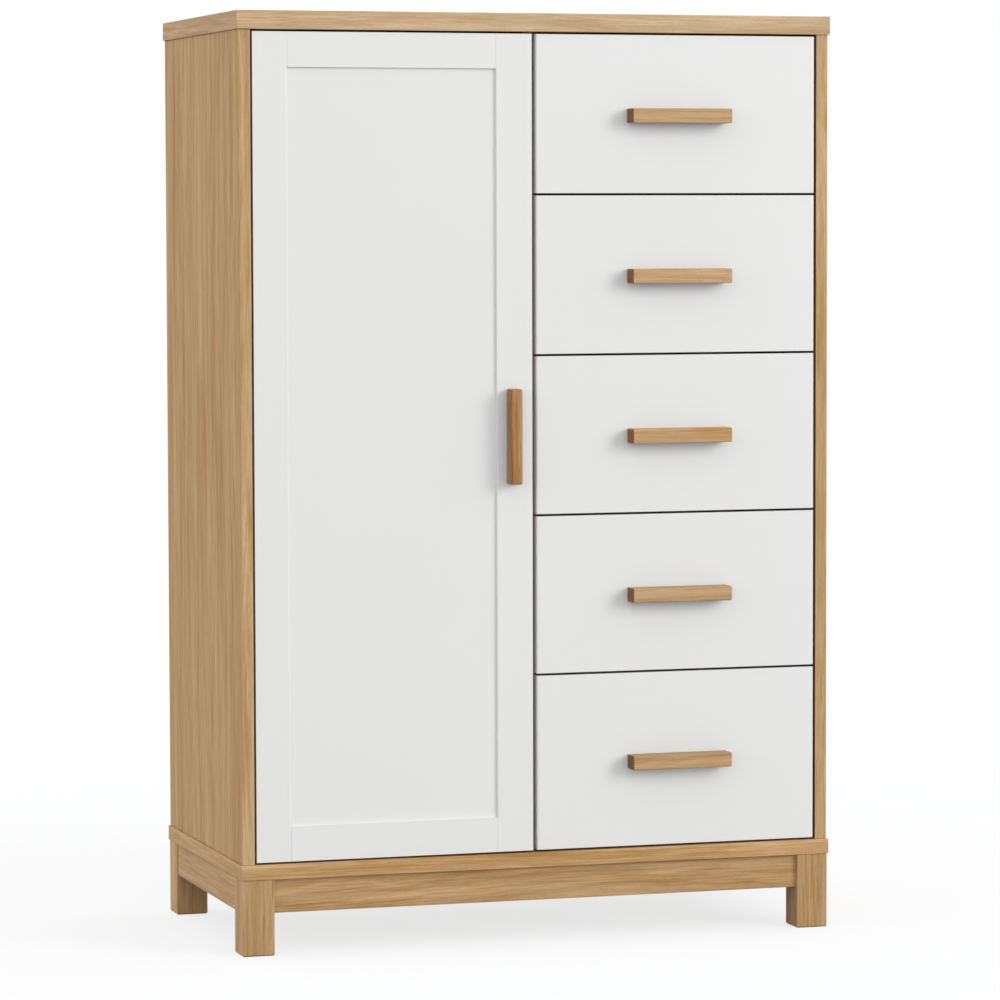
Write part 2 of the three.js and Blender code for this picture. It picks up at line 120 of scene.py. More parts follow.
def select_only(piece):
    """Selects one piece alone and makes it active."""
    bpy.ops.object.select_all(action="DESELECT")
    piece.select_set(True)
    bpy.context.view_layer.objects.active = piece


def settle_place(piece):
    """Moves the object's place, turn and size into its mesh."""
    select_only(piece)
    bpy.ops.object.transform_apply(location=True, rotation=True, scale=True)


def add_block(name, low, high):
    """A box between two corners."""
    low, high = Vector(low), Vector(high)
    bpy.ops.object.select_all(action="DESELECT")
    bpy.ops.mesh.primitive_cube_add(size=1, location=(low + high) / 2, scale=high - low)
    block = bpy.context.object
    block.name = block.data.name = name
    settle_place(block)
    return block


def add_disc(place, radius, thickness, axis="z", sides=24):
    """A cylinder round a middle point, with its axis along x, y or z."""
    bpy.ops.object.select_all(action="DESELECT")
    bpy.ops.mesh.primitive_cylinder_add(
        vertices=sides, radius=radius, depth=thickness, location=place, rotation=AXIS_TURNS[axis]
    )
    disc = bpy.context.object
    settle_place(disc)
    return disc


def pick(kind, test):
    """In edit mode, selects the edges or the verts that pass the test, and nothing else."""
    mesh = bmesh.from_edit_mesh(bpy.context.object.data)
    mesh.select_mode = {"VERT"} if kind == "verts" else {"EDGE"}
    for group in (mesh.verts, mesh.edges, mesh.faces):
        for element in group:
            element.select = False
    for element in getattr(mesh, kind):
        if test(element):
            element.select_set(True)
    bmesh.update_edit_mesh(bpy.context.object.data)


def near(first, second, by=SAME_PLACE):
    """Whether two measures along one axis are the same place."""
    return abs(first - second) < by


def middle(edge):
    return (edge.verts[0].co + edge.verts[1].co) / 2


def direction(edge):
    """The axis that an edge runs along, or None when it is slanted."""
    span = edge.verts[1].co - edge.verts[0].co
    longest = max((X, Y, Z), key=lambda axis: abs(span[axis]))
    return longest if abs(span[longest]) > STRAIGHT * span.length else None


def ease_edges(piece, width, steps=3, test=lambda edge: True):
    """Rounds the edges that pass the test, as sandpaper or a small cutter does."""
    select_only(piece)
    bpy.ops.object.mode_set(mode="EDIT")
    pick("edges", test)
    bpy.ops.mesh.bevel(offset=width, segments=steps, affect="EDGES", clamp_overlap=True)
    bpy.ops.object.mode_set(mode="OBJECT")


def smooth(piece):
    """Smooth shading that keeps the flat faces flat."""
    select_only(piece)
    bpy.ops.object.shade_smooth_by_angle(angle=FLAT_ANGLE)
    flat = piece.modifiers.new("keep flat", "WEIGHTED_NORMAL")
    flat.keep_sharp = True
    bpy.ops.object.modifier_apply(modifier=flat.name)


def subtract(piece, cutter):
    """Cuts one mesh out of another and throws the cutter away."""
    select_only(piece)
    hole = piece.modifiers.new("cut", "BOOLEAN")
    hole.operation = "DIFFERENCE"
    hole.solver = "EXACT"
    hole.object = cutter
    bpy.ops.object.modifier_apply(modifier=hole.name)
    bpy.data.objects.remove(cutter)


def grown(box, by):
    """A box made larger on all its sides."""
    return box[0] - Vector((by, by, by)), box[1] + Vector((by, by, by))


def cut_seats(board, names, play=PLAY):
    """Cuts a bed for each named solid out of a board that it is let into."""
    for name in names:
        subtract(board, add_block("seat", *grown(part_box(name), play)))


def join(name, pieces):
    """Makes several meshes one piece."""
    select_only(pieces[0])
    for piece in pieces:
        piece.select_set(True)
    bpy.ops.object.join()
    whole = bpy.context.object
    whole.name = whole.data.name = name
    return whole


def place_copy(name, mesh, move):
    """A new object with its own copy of a mesh, moved within the mesh."""
    copy = bpy.data.objects.new(name, mesh.copy())
    copy.data.name = name
    copy.data.transform(move)
    bpy.context.scene.collection.objects.link(copy)
    return copy


models = {}


def model_once(name, kind, box, make):
    """Models a kind of piece in the first box of its size, and copies it to later such boxes."""
    low, high = box
    key = (kind, *(round(side, 5) for side in high - low))
    if key in models:
        mesh, first_low = models[key]
        return place_copy(name, mesh, Matrix.Translation(low - first_low))
    piece = make(low, high)
    piece.name = piece.data.name = name
    models[key] = (piece.data.copy(), low.copy())
    return piece


def fit_out(piece, body, slot, *materials, replaces=()):
    """The last step for a piece: its finish, what it moves with, and what solids it stands for."""
    for material in materials:
        piece.data.materials.append(material)
    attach(piece, body)
    if replaces:
        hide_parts(*replaces)


# %% [markdown]
# ## Shader groups
# Wood is the main finish. Oak seen from a few metres is calm: wide bands that drift in tone,
# streaks a few millimetres wide that run the length of the board, some a little cooler than the
# rest, and close up, fine fibres and short dark pores. All of these are noise that is squeezed
# across the grain and stretched along it. One node group holds them, with the grain along its own
# Z, and each board turns and shifts it with a Mapping node.

# %% Helpers for node trees
MIX_COLOUR_INPUTS = (0, 6, 7)


def set_input(tree, socket, value):
    """Links a socket to another node's output, or sets its number or colour."""
    if isinstance(value, bpy.types.NodeSocket):
        tree.links.new(value, socket)
    else:
        socket.default_value = value


def set_inputs(tree, sockets, values):
    for socket, value in zip(sockets, values):
        set_input(tree, socket, value)


def add_node(tree, kind, **values):
    """A node with some of its inputs or settings given by name."""
    node = tree.nodes.new(kind)
    for name, value in values.items():
        if name in node.inputs:
            set_input(tree, node.inputs[name], value)
        else:
            setattr(node, name, value)
    return node


def new_group(name, inputs):
    """A group from a place to a colour, roughness and height. Gives its tree and end nodes."""
    tree = bpy.data.node_groups.new(name, "ShaderNodeTree")
    colour, number, vector = "NodeSocketColor", "NodeSocketFloat", "NodeSocketVector"
    tree.interface.new_socket(name="Vector", in_out="INPUT", socket_type=vector)
    for socket, value in inputs.items():
        kind = colour if isinstance(value, tuple) else number
        made = tree.interface.new_socket(name=socket, in_out="INPUT", socket_type=kind)
        made.default_value = value
    for socket, kind in (("Color", colour), ("Roughness", number), ("Height", number)):
        tree.interface.new_socket(name=socket, in_out="OUTPUT", socket_type=kind)
    return tree, tree.nodes.new("NodeGroupInput"), tree.nodes.new("NodeGroupOutput")


def math_node(tree, operation, first, second):
    """Adds, multiplies or compares two values. Each is a socket or a number."""
    node = add_node(tree, "ShaderNodeMath", operation=operation)
    set_inputs(tree, node.inputs, (first, second))
    return node.outputs[0]


def vector_math(tree, operation, *values):
    node = add_node(tree, "ShaderNodeVectorMath", operation=operation)
    set_inputs(tree, node.inputs, values)
    return node


def map_range(tree, value, start, end, curve="LINEAR", results=(0.0, 1.0)):
    """Turns a range of values into 0 to 1, or into other results, and stays there beyond it."""
    node = add_node(tree, "ShaderNodeMapRange", interpolation_type=curve, Value=value)
    names = ("From Min", "From Max", "To Min", "To Max")
    set_inputs(tree, [node.inputs[name] for name in names], (start, end, *results))
    return node.outputs["Result"]


def mix_colours(tree, factor, first, second):
    """Blends two colours by a factor socket."""
    node = add_node(tree, "ShaderNodeMix", data_type="RGBA")
    sockets = [node.inputs[number] for number in MIX_COLOUR_INPUTS]
    set_inputs(tree, sockets, (factor, first, second))
    return node.outputs[2]


def mix_shaders(tree, factor, first, second):
    node = tree.nodes.new("ShaderNodeMixShader")
    set_inputs(tree, node.inputs, (factor, first.outputs[0], second.outputs[0]))
    return node


def stretched_noise(tree, vector, across, along, detail, roughness):
    """Noise with so many waves a metre across the grain and along it. Its values lie round 0.5."""
    scaled = add_node(tree, "ShaderNodeMapping", Vector=vector, Scale=(across, across, along))
    noise = add_node(tree, "ShaderNodeTexNoise", Vector=scaled.outputs["Vector"], Scale=1.0)
    noise.inputs["Detail"].default_value = detail
    noise.inputs["Roughness"].default_value = roughness
    return noise.outputs["Fac"]


# %% The wood grain group
# Each layer of noise: waves a metre across the grain and along it, detail, roughness.
WANDER = (4.0, 1.1, 1.0, 0.5)
DRIFT = (11.0, 0.6, 1.0, 0.5)
STREAK = (60.0, 2.2, 4.0, 0.75)
FIBRE = (430.0, 13.0, 2.0, 0.6)
TINT = (80.0, 1.1, 2.0, 0.5)
PORE = (1900.0, 85.0, 1.0, 0.5)
WANDER_REACH = (0.05, 0.05, 0.0)
TONE_WEIGHTS = (0.3, 2.0, 1.3)
TONE_RANGE = (1.42, 2.14)
TINT_RANGE = (0.35, 0.65)
TINT_MOST = 0.5
PORE_RANGE = (0.60, 0.72)
PORE_SINK = 0.8
FIBRE_ROUGHNESS = 0.18


def make_wood_grain():
    tree, start, end = new_group(
        "wood_grain",
        {
            "Light": (0.6, 0.4, 0.2, 1),
            "Dark": (0.4, 0.25, 0.12, 1),
            "Cool": (0.5, 0.4, 0.3, 1),
            "Pore": (0.2, 0.12, 0.06, 1),
            "Pore Depth": 0.4,
            "Gloss": 0.5,
        },
    )
    given = start.outputs
    wander = stretched_noise(tree, given["Vector"], *WANDER)
    bend = vector_math(tree, "MULTIPLY_ADD", wander, WANDER_REACH, given["Vector"])
    drift, streak, fibre, tint, pore = (
        stretched_noise(tree, bend.outputs["Vector"], *layer)
        for layer in (DRIFT, STREAK, FIBRE, TINT, PORE)
    )

    tone = 0.0
    for layer, weight in zip((drift, streak, fibre), TONE_WEIGHTS):
        tone = math_node(tree, "ADD", tone, math_node(tree, "MULTIPLY", layer, weight))
    body = mix_colours(tree, map_range(tree, tone, *TONE_RANGE), given["Dark"], given["Light"])
    cooler = map_range(tree, tint, *TINT_RANGE, results=(0.0, TINT_MOST))
    body = mix_colours(tree, cooler, body, given["Cool"])
    dash = map_range(tree, pore, *PORE_RANGE, curve="SMOOTHSTEP")
    seen_pore = math_node(tree, "MULTIPLY", dash, given["Pore Depth"])
    colour = mix_colours(tree, seen_pore, body, given["Pore"])

    centred = math_node(tree, "SUBTRACT", fibre, 0.5)
    change = math_node(tree, "MULTIPLY", centred, FIBRE_ROUGHNESS)
    roughness = math_node(tree, "ADD", given["Gloss"], change)
    height = math_node(tree, "SUBTRACT", fibre, math_node(tree, "MULTIPLY", dash, PORE_SINK))
    set_inputs(tree, end.inputs, (colour, roughness, height))
    return tree


wood_grain = make_wood_grain()
print("wood grain group:", len(wood_grain.nodes), "nodes")

# %% [markdown]
# Painted and metal surfaces need less: a slow cloudiness, so that no large face is one flat colour,
# and a fine relief. Sprayed lacquer has a faint orange peel, plated steel a faint brushing.

# %% The cloudy surface group
def make_cloudy_surface():
    tree, start, end = new_group(
        "cloudy_surface",
        {
            "Base": (0.8, 0.8, 0.8, 1),
            "Clouded": (0.75, 0.75, 0.75, 1),
            "Gloss": 0.4,
            "Gloss Change": 0.06,
            "Cloud Scale": 3.0,
            "Grain Scale": 900.0,
        },
    )
    given = start.outputs
    noise = {"tree": tree, "kind": "ShaderNodeTexNoise", "Vector": given["Vector"]}
    cloud = add_node(**noise, Scale=given["Cloud Scale"], Detail=3.0, Roughness=0.55).outputs["Fac"]
    grain = add_node(**noise, Scale=given["Grain Scale"], Detail=1.0).outputs["Fac"]
    centred = math_node(tree, "SUBTRACT", cloud, 0.5)
    change = math_node(tree, "MULTIPLY", centred, given["Gloss Change"])
    roughness = math_node(tree, "ADD", given["Gloss"], change)
    colour = mix_colours(tree, cloud, given["Base"], given["Clouded"])
    set_inputs(tree, end.inputs, (colour, roughness, grain))
    return tree


cloudy_surface = make_cloudy_surface()
print("cloudy surface group:", len(cloudy_surface.nodes), "nodes")

# %% [markdown]
# ## Materials
# Colours are noted as they look on a screen and turned into the linear values that a shader wants.
# Each board gets a material of its own from the same group: the direction of its grain, a shift so
# that no two boards show the same figure, and a small change of tone.

# %% Material makers
OAK = {"Light": (206, 176, 136), "Dark": (166, 124, 69), "Pore": (124, 93, 62)}
SIDE_OAK = {"Light": (213, 178, 133), "Dark": (172, 126, 58), "Pore": (124, 90, 54)}
TOP_OAK = {"Light": (222, 192, 157), "Dark": (181, 148, 103), "Pore": (140, 110, 80)}
TOP_EDGE_OAK = {"Light": (216, 181, 140), "Dark": (177, 137, 89), "Pore": (130, 100, 70)}
BASE_OAK = {"Light": (208, 171, 128), "Dark": (164, 124, 68), "Pore": (120, 90, 58)}
COOL_SHIFT = (-9, -1, 9)
OAK_FINISH = {"Specular IOR Level": 0.1}
# The strength and the depth of a surface's fine relief.
OAK_RELIEF = (0.3, 0.1 * MM)


def screen_colour(red, green, blue, tone=1.0):
    """A screen colour from 0 to 255 as a linear shader colour, made lighter or darker by tone."""
    linear = []
    for value in (red, green, blue):
        part = value / 255
        part = part / 12.92 if part <= 0.04045 else ((part + 0.055) / 1.055) ** 2.4
        linear.append(part * tone)
    return (*linear, 1.0)


def group_material(name, group, values, turn=(0, 0, 0), shift=(0, 0, 0), relief=None, finish={}):
    """A material whose colour, roughness and fine relief come from one group."""
    material = bpy.data.materials.new(name)
    material.use_nodes = True
    tree = material.node_tree
    place = tree.nodes.new("ShaderNodeTexCoord").outputs["Object"]
    turned = add_node(tree, "ShaderNodeMapping", Vector=place, Rotation=turn, Location=shift)
    surface = add_node(tree, "ShaderNodeGroup", node_tree=group)
    for socket, value in {**values, "Vector": turned.outputs["Vector"]}.items():
        set_input(tree, surface.inputs[socket], value)
    shader = tree.nodes["Principled BSDF"].inputs
    tree.links.new(surface.outputs["Color"], shader["Base Color"])
    tree.links.new(surface.outputs["Roughness"], shader["Roughness"])
    if relief:
        strength, depth = relief
        bump = add_node(tree, "ShaderNodeBump", Strength=strength, Distance=depth)
        tree.links.new(surface.outputs["Height"], bump.inputs["Height"])
        tree.links.new(bump.outputs["Normal"], shader["Normal"])
    for socket, value in finish.items():
        shader[socket].default_value = value
    return material


def oak(name, along, shift, tone=1.0, colours=OAK, pores=0.35, gloss=0.55):
    """Oak veneer or solid oak with its grain along one axis of the part."""
    values = {key: screen_colour(*rgb, tone) for key, rgb in colours.items()}
    pairs = zip(colours["Light"], colours["Dark"], COOL_SHIFT)
    cool = [(light + dark) / 2 + step for light, dark, step in pairs]
    values.update({"Cool": screen_colour(*cool, tone), "Pore Depth": pores, "Gloss": gloss})
    turn = AXIS_TURNS[along]
    return group_material(name, wood_grain, values, turn, shift, OAK_RELIEF, OAK_FINISH)


# %% [markdown]
# ## The case boards
# The top, the bottom and the sides are veneered boards. Their faces are glued over with veneer and
# the cut edges are covered by a thin strip, whose grain runs along the edge: a board gets two oaks.
# Every arris is rounded by a millimetre, which gives the soft light line that a sharp computer edge
# lacks. The inner front arris of each side stays crisp: a wide one would catch light in the narrow
# gap beside it. What is let into a board gets its seat cut out with a hair of play. The right
# side's inner face shows behind an open drawer and in the gap beside the drawers, and it is painted
# dark: painted shade, which deepens that gap.

# %% Boards of the case
ARRIS = 1.0 * MM
CRISP_ARRIS = 0.4 * MM
FACING = 0.8
SIDE_TONE = 1.02
SIDE_EDGE_TONE = 1.09
# How dark the right side's inner face is: painted shade in the gap beside the drawers.
BAY_SHADE_TONE = 0.45

SEATED_IN = {
    "top_board": ("back_panel", "centre_partition"),
    "bottom_board": ("back_panel", "centre_partition"),
    "left_side_panel": ("back_panel", "wardrobe_shelf"),
    "right_side_panel": ("back_panel",),
}
# The oaks of the faces and of the edges, their tone, and the shift of the grain.
LEVEL_BOARDS = {
    "top_board": (TOP_OAK, TOP_EDGE_OAK, 1.02, (0.31, 0.0, 2.2)),
    "bottom_board": (BASE_OAK, BASE_OAK, 1.16, (1.9, 0.4, 5.1)),
}
SIDE_BOARDS = {"left_side_panel": (0.0, 3.3, 0.4), "right_side_panel": (4.4, 1.7, 6.2)}


def add_board(name, crisp_x=None):
    """The node's box as a board with eased edges and its seats. One front arris may be crisp."""
    low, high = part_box(name)
    board = add_block(name + "_oak", low, high)
    if crisp_x is None:
        ease_edges(board, ARRIS)
    else:
        crisp = lambda edge: (
            near(middle(edge).x, crisp_x, HAIR) and near(middle(edge).y, low.y, HAIR)
        )
        ease_edges(board, ARRIS, 3, lambda edge: not crisp(edge))
        ease_edges(board, CRISP_ARRIS, 2, crisp)
    cut_seats(board, SEATED_IN[name])
    return board


def strip_faces(board, axis, signs=(-1, 1), index=1):
    """Gives the faces that look along an axis, both ways or one way, another of the materials."""
    for face in board.data.polygons:
        if any(sign * face.normal[axis] > FACING for sign in signs):
            face.material_index = index


for name, (colours, edge_colours, tone, shift) in LEVEL_BOARDS.items():
    board = add_board(name)
    strip_faces(board, X)
    smooth(board)
    face_oak = oak(name + "_oak", "x", shift, tone, colours)
    edge_oak = oak(name + "_edge_oak", "y", shift, tone, edge_colours)
    fit_out(board, "case", "oak_case", face_oak, edge_oak, replaces=[name])

for name, shift in SIDE_BOARDS.items():
    low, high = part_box(name)
    board = add_board(name, crisp_x=min(low.x, high.x, key=abs))
    strip_faces(board, Y)
    oaks = [oak(name + "_oak", "z", shift, SIDE_TONE, SIDE_OAK)]
    oaks.append(oak(name + "_edge_oak", "z", shift, SIDE_EDGE_TONE))
    # The right side's inner face is painted dark: painted shade in the gap beside the drawers.
    if name == "right_side_panel":
        oaks.append(oak("bay_shade_oak", "z", shift, BAY_SHADE_TONE, SIDE_OAK))
        strip_faces(board, X, (-1,), 2)
    smooth(board)
    fit_out(board, "case", "oak_case", *oaks, replaces=[name])
print("case boards made:", list(SEATED_IN))

# %% [markdown]
# ## The base
# Four square legs of solid oak stand under the bottom board, their grain upright. Aprons run
# between them, set back a little so that each leg reads as a post. The foot of a leg is chamfered,
# so that it doesn't splinter when the cabinet is pushed. The legs were cut from different stock, so
# their tones differ. Their sides are set lighter or darker than their fronts, and the side aprons
# lighter than the front and back ones: that is painted light and shade.

# %% Legs and aprons
LEG_ARRIS = 1.2 * MM
FOOT_CHAMFER = 2.0 * MM

# The tone of a leg's front and back, the tone of its sides, and the shift of the grain. The sides'
# tones are painted light and shade: mostly lighter, and darker on the front right leg, in shade.
LEGS = {
    "front_left_leg": (0.94, 1.14, (2.0, 0.6, 1.0)),
    "front_right_leg": (0.98, 0.93, (5.2, 2.6, 0.3)),
    "back_left_leg": (1.02, 1.18, (7.7, 4.1, 2.5)),
    "back_right_leg": (0.99, 1.03, (9.1, 6.4, 3.7)),
}
# The direction of an apron's grain, its tone, and the shift of the grain. The side aprons are set
# lighter than the others: painted light.
APRONS = {
    "front_apron": ("x", 1.02, (3.1, 0.2, 8.0)),
    "back_apron": ("x", 1.02, (6.1, 1.2, 4.0)),
    "left_apron": ("y", 1.08, (0.8, 5.2, 7.0)),
    "right_apron": ("y", 1.08, (1.8, 9.2, 3.0)),
}


def leg_shape(low, high):
    leg = add_block("leg", low, high)
    ease_edges(leg, FOOT_CHAMFER, 1, lambda edge: near(middle(edge).z, low.z))
    ease_edges(leg, LEG_ARRIS, 3, lambda edge: direction(edge) == Z)
    strip_faces(leg, X)
    smooth(leg)
    return leg


def apron_shape(low, high):
    apron = add_block("apron", low, high)
    grain = X if high.x - low.x > high.y - low.y else Y
    ease_edges(apron, LEG_ARRIS, 3, lambda edge: direction(edge) == grain)
    smooth(apron)
    return apron


for name, (tone, side_light_tone, shift) in LEGS.items():
    leg = model_once(name + "_oak", "leg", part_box(name), leg_shape)
    front_oak = oak(name + "_oak", "z", shift, tone, BASE_OAK)
    # A leg's sides take a lighter or darker copy of its oak: painted light and shade.
    side_light_oak = oak(name + "_side_light_oak", "z", shift, side_light_tone, BASE_OAK)
    fit_out(leg, "case", "oak_case", front_oak, side_light_oak, replaces=[name])

leg_boxes = {name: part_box(name) for name in LEGS}
clear_x = (leg_boxes["front_left_leg"][1].x, leg_boxes["front_right_leg"][0].x)
clear_y = (leg_boxes["front_left_leg"][1].y, leg_boxes["back_left_leg"][0].y)
for name, (along, tone, shift) in APRONS.items():
    low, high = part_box(name)
    if along == "x":
        low.x, high.x = clear_x
    else:
        low.y, high.y = clear_y
    apron = model_once(name + "_oak", "apron", (low, high), apron_shape)
    apron_oak = oak(name + "_oak", along, shift, tone, BASE_OAK)
    fit_out(apron, "case", "oak_case", apron_oak, replaces=[name])
print("base made, aprons between x", clear_x, "and y", clear_y)

# %% [markdown]
# ## White lacquer
# The door and drawer fronts are sprayed a warm white and rubbed to a satin sheen. The two whites on
# the faces are close: their difference is only what dust and handling do to a large painted face.
# The edges that look into the narrow gaps are painted a greyer white than the faces: painted
# shade, which deepens the gaps.

# %% The lacquer
LACQUER = {"Base": (233, 233, 231), "Clouded": (230, 230, 227)}
LACQUER_SHEEN = {"Gloss": 0.42, "Gloss Change": 0.08, "Cloud Scale": 3.5, "Grain Scale": 700.0}
LACQUER_RELIEF = (0.12, 0.05 * MM)
# How much greyer the edges in the gaps are than the faces: painted shade.
GAP_SHADE_TONE = 0.55


def lacquer(name, shift=(0, 0, 0), tone=1.0):
    values = {key: screen_colour(*rgb, tone) for key, rgb in LACQUER.items()}
    values.update(LACQUER_SHEEN)
    return group_material(name, cloudy_surface, values, shift=shift, relief=LACQUER_RELIEF)


door_lacquer = lacquer("door_lacquer")
front_lacquer = lacquer("front_lacquer", (3.0, 1.0, 2.0))
# The edges' lacquer is a darker copy of the white: painted shade in the gaps.
gap_shade_lacquer = lacquer("gap_shade_lacquer", (1.0, 5.0, 4.0), GAP_SHADE_TONE)
print("lacquers mixed, the edges at", GAP_SHADE_TONE, "of the faces")

# %% [markdown]
# ## The framed door
# Two stiles run the full height and two rails fit between them, with a flat panel let into a
# groove. The inner edges of the frame are rounded with a small cutter that stops at the joints, and
# the hinge stile's a little more, where the round catches the light. The joints are eased by half a
# millimetre: painted, they show as a hair line. The hinge stile is bored for three hinge cups.

# %% Stiles, rails and panel
INNER_ROUND = 1.6 * MM
LIT_ROUND = 2.8 * MM
JOINT_EASE = 0.5 * MM
PANEL_PLAY = 0.1 * MM
CUP_BORE_R = 17.5 * MM
LEVELS = ("top", "middle", "bottom")


def bore_for_cup(stile, cup):
    """A round hole in the stile's back, as deep as the cup and a hair more."""
    low, high = grown(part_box(cup), PLAY)
    subtract(stile, add_disc((low + high) / 2, CUP_BORE_R, high.y - low.y, "y", sides=64))


def cut_across(piece, heights):
    """Adds a ring of edges round a piece at each height."""
    select_only(piece)
    bpy.ops.object.mode_set(mode="EDIT")
    for height in heights:
        bpy.ops.mesh.select_all(action="SELECT")
        bpy.ops.mesh.bisect(plane_co=(0, 0, height), plane_no=(0, 0, 1))
    bpy.ops.object.mode_set(mode="OBJECT")


rail_low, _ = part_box("door_top_rail")
_, rail_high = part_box("door_bottom_rail")
panel_gap = (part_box("door_hinge_stile")[1].x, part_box("door_lock_stile")[0].x)
for name, inner_round in (("door_hinge_stile", LIT_ROUND), ("door_lock_stile", INNER_ROUND)):
    low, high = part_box(name)
    hinged = name == "door_hinge_stile"
    outer_x, inner_x = (low.x, high.x) if hinged else (high.x, low.x)
    stile = add_block(name + "_white", low, high)
    cut_across(stile, (rail_high.z, rail_low.z))
    on_inner = lambda edge: direction(edge) == Z and near(middle(edge).x, inner_x)
    on_outer = lambda edge: direction(edge) == Z and near(middle(edge).x, outer_x)
    at_end = lambda edge: direction(edge) in (X, Y) and (
        near(middle(edge).z, low.z) or near(middle(edge).z, high.z)
    )
    by_panel = lambda edge: rail_high.z < middle(edge).z < rail_low.z
    ease_edges(stile, inner_round, 4, lambda edge: on_inner(edge) and by_panel(edge))
    ease_edges(stile, JOINT_EASE, 2, lambda edge: on_inner(edge) and not by_panel(edge))
    ease_edges(stile, ARRIS, 3, lambda edge: on_outer(edge) or at_end(edge))
    cut_seats(stile, ["door_panel"], PANEL_PLAY)
    if hinged:
        for level in LEVELS:
            bore_for_cup(stile, level + "_hinge_cup")
    # The outer edge and the ends take the greyer lacquer: painted shade in the gaps round the door.
    strip_faces(stile, X, (-1,) if hinged else (1,))
    strip_faces(stile, Z)
    smooth(stile)
    fit_out(stile, "door", "white_lacquer", door_lacquer, gap_shade_lacquer, replaces=[name])

for name, outward in (("door_top_rail", 1), ("door_bottom_rail", -1)):
    low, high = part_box(name)
    low.x, high.x = panel_gap
    inner_z, outer_z = (low.z, high.z) if outward > 0 else (high.z, low.z)
    rail = add_block(name + "_white", low, high)
    at_joint = lambda edge: direction(edge) == Z and near(middle(edge).y, low.y)
    on_outer = lambda edge: direction(edge) == X and near(middle(edge).z, outer_z)
    on_inner = lambda edge: direction(edge) == X and near(middle(edge).z, inner_z)
    ease_edges(rail, JOINT_EASE, 2, at_joint)
    ease_edges(rail, ARRIS, 3, on_outer)
    ease_edges(rail, INNER_ROUND, 4, on_inner)
    cut_seats(rail, ["door_panel"], PANEL_PLAY)
    # The outer edge takes the greyer lacquer: painted shade in the gap above or below the door.
    strip_faces(rail, Z, (outward,))
    smooth(rail)
    fit_out(rail, "door", "white_lacquer", door_lacquer, gap_shade_lacquer, replaces=[name])

low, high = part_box("door_panel")
panel = add_block("door_panel_white", low, high)
ease_edges(panel, JOINT_EASE, 2)
smooth(panel)
fit_out(panel, "door", "white_lacquer", door_lacquer, replaces=["door_panel"])
print("door framed, opening", panel_gap, "by", (rail_high.z, rail_low.z))

# %% [markdown]
# ## Drawer fronts
# Each front is one thick board, painted all over. Its upright edges are rounder than the level
# ones, and show as a soft light band beside the dark gap.

# %% Drawer fronts
FRONT_SIDE_ROUND = 3.0 * MM


def front_shape(low, high):
    front = add_block("front", low, high)
    ease_edges(front, FRONT_SIDE_ROUND, 6, lambda edge: direction(edge) == Z)
    ease_edges(front, ARRIS, 3, lambda edge: direction(edge) != Z)
    # The right edge and the level edges take the greyer lacquer: painted shade in the gaps.
    strip_faces(front, X, (1,))
    strip_faces(front, Z)
    smooth(front)
    return front


for drawer in DRAWERS:
    name = drawer + "_front"
    front = model_once(name + "_white", "drawer front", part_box(name), front_shape)
    fit_out(front, drawer, "white_lacquer", front_lacquer, gap_shade_lacquer, replaces=[name])
print("fronts made, their upright edges", FRONT_SIDE_ROUND, "round")

# %% [markdown]
# ## Oak pulls
# The pulls are solid bars, screwed on from behind. Their wood is redder than the case and oiled
# rather than lacquered. The grain follows each bar. Its sawn ends drink more oil, so they turn a
# deep brown, and they get a second material. The upright door pull has rounder edges and darker
# wood, and its two long sides take the second material, darker still: painted shade.
# A small bar of oiled wood throws hardly any light on the lacquer behind it. So a diffuse ray, one
# that asks how much light comes back from the bar, finds it a dull brown.

# %% Pulls
PULL_OAK = {"Light": (213, 178, 137), "Dark": (176, 136, 84), "Pore": (128, 92, 58)}
DOOR_PULL_OAK = {"Light": (214, 166, 113), "Dark": (134, 87, 37), "Pore": (104, 70, 42)}
END_OAK = {"Light": (152, 106, 67), "Dark": (118, 79, 45), "Pore": (84, 56, 36)}
# The door pull's long sides, darker than its front: painted shade.
DOOR_PULL_SHADE_OAK = {"Light": (184, 144, 104), "Dark": (138, 100, 64), "Pore": (98, 66, 42)}
BOUNCED_OAK = (132, 124, 115)
PULL_ROUND = 1.6 * MM
DOOR_PULL_ROUND = 2.8 * MM
PULL_PORES = 0.3
PULL_TONES = (0.91, 0.97, 1.08, 0.93, 0.89)
DOOR_PULL_TONE = 0.95


def pull_oak(name, *looks):
    """Oak that a diffuse ray finds one dull brown."""
    material = oak(name, *looks, pores=PULL_PORES)
    tree = material.node_tree
    base = tree.nodes["Principled BSDF"].inputs["Base Color"]
    bounced = tree.nodes.new("ShaderNodeLightPath").outputs["Is Diffuse Ray"]
    wood, brown = base.links[0].from_socket, screen_colour(*BOUNCED_OAK)
    tree.links.new(mix_colours(tree, bounced, wood, brown), base)
    return material


def pull_shape(low, high):
    pull = add_block("pull", low, high)
    upright = high.z - low.z > high.x - low.x
    ease_edges(pull, DOOR_PULL_ROUND if upright else PULL_ROUND, 4)
    # The faces that look sideways take the second material: a level pull's sawn ends, and the door
    # pull's long sides in painted shade.
    strip_faces(pull, X)
    smooth(pull)
    return pull


def add_pull(name, body, along, shift, tone, colours, darker_colours):
    pull = model_once(name + "_bar", "pull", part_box(name), pull_shape)
    wood = pull_oak(name + "_oak", along, shift, tone, colours)
    darker = pull_oak(name + "_dark_oak", along, shift, tone, darker_colours)
    fit_out(pull, body, "oak_pull", wood, darker, replaces=[name])


for number, (drawer, tone) in enumerate(zip(DRAWERS, PULL_TONES)):
    shift = (1.3 * number, 0.7 * number, 4.0 + number)
    add_pull(drawer + "_pull", drawer, "x", shift, tone, PULL_OAK, END_OAK)
shift = (8.1, 2.2, 0.5)
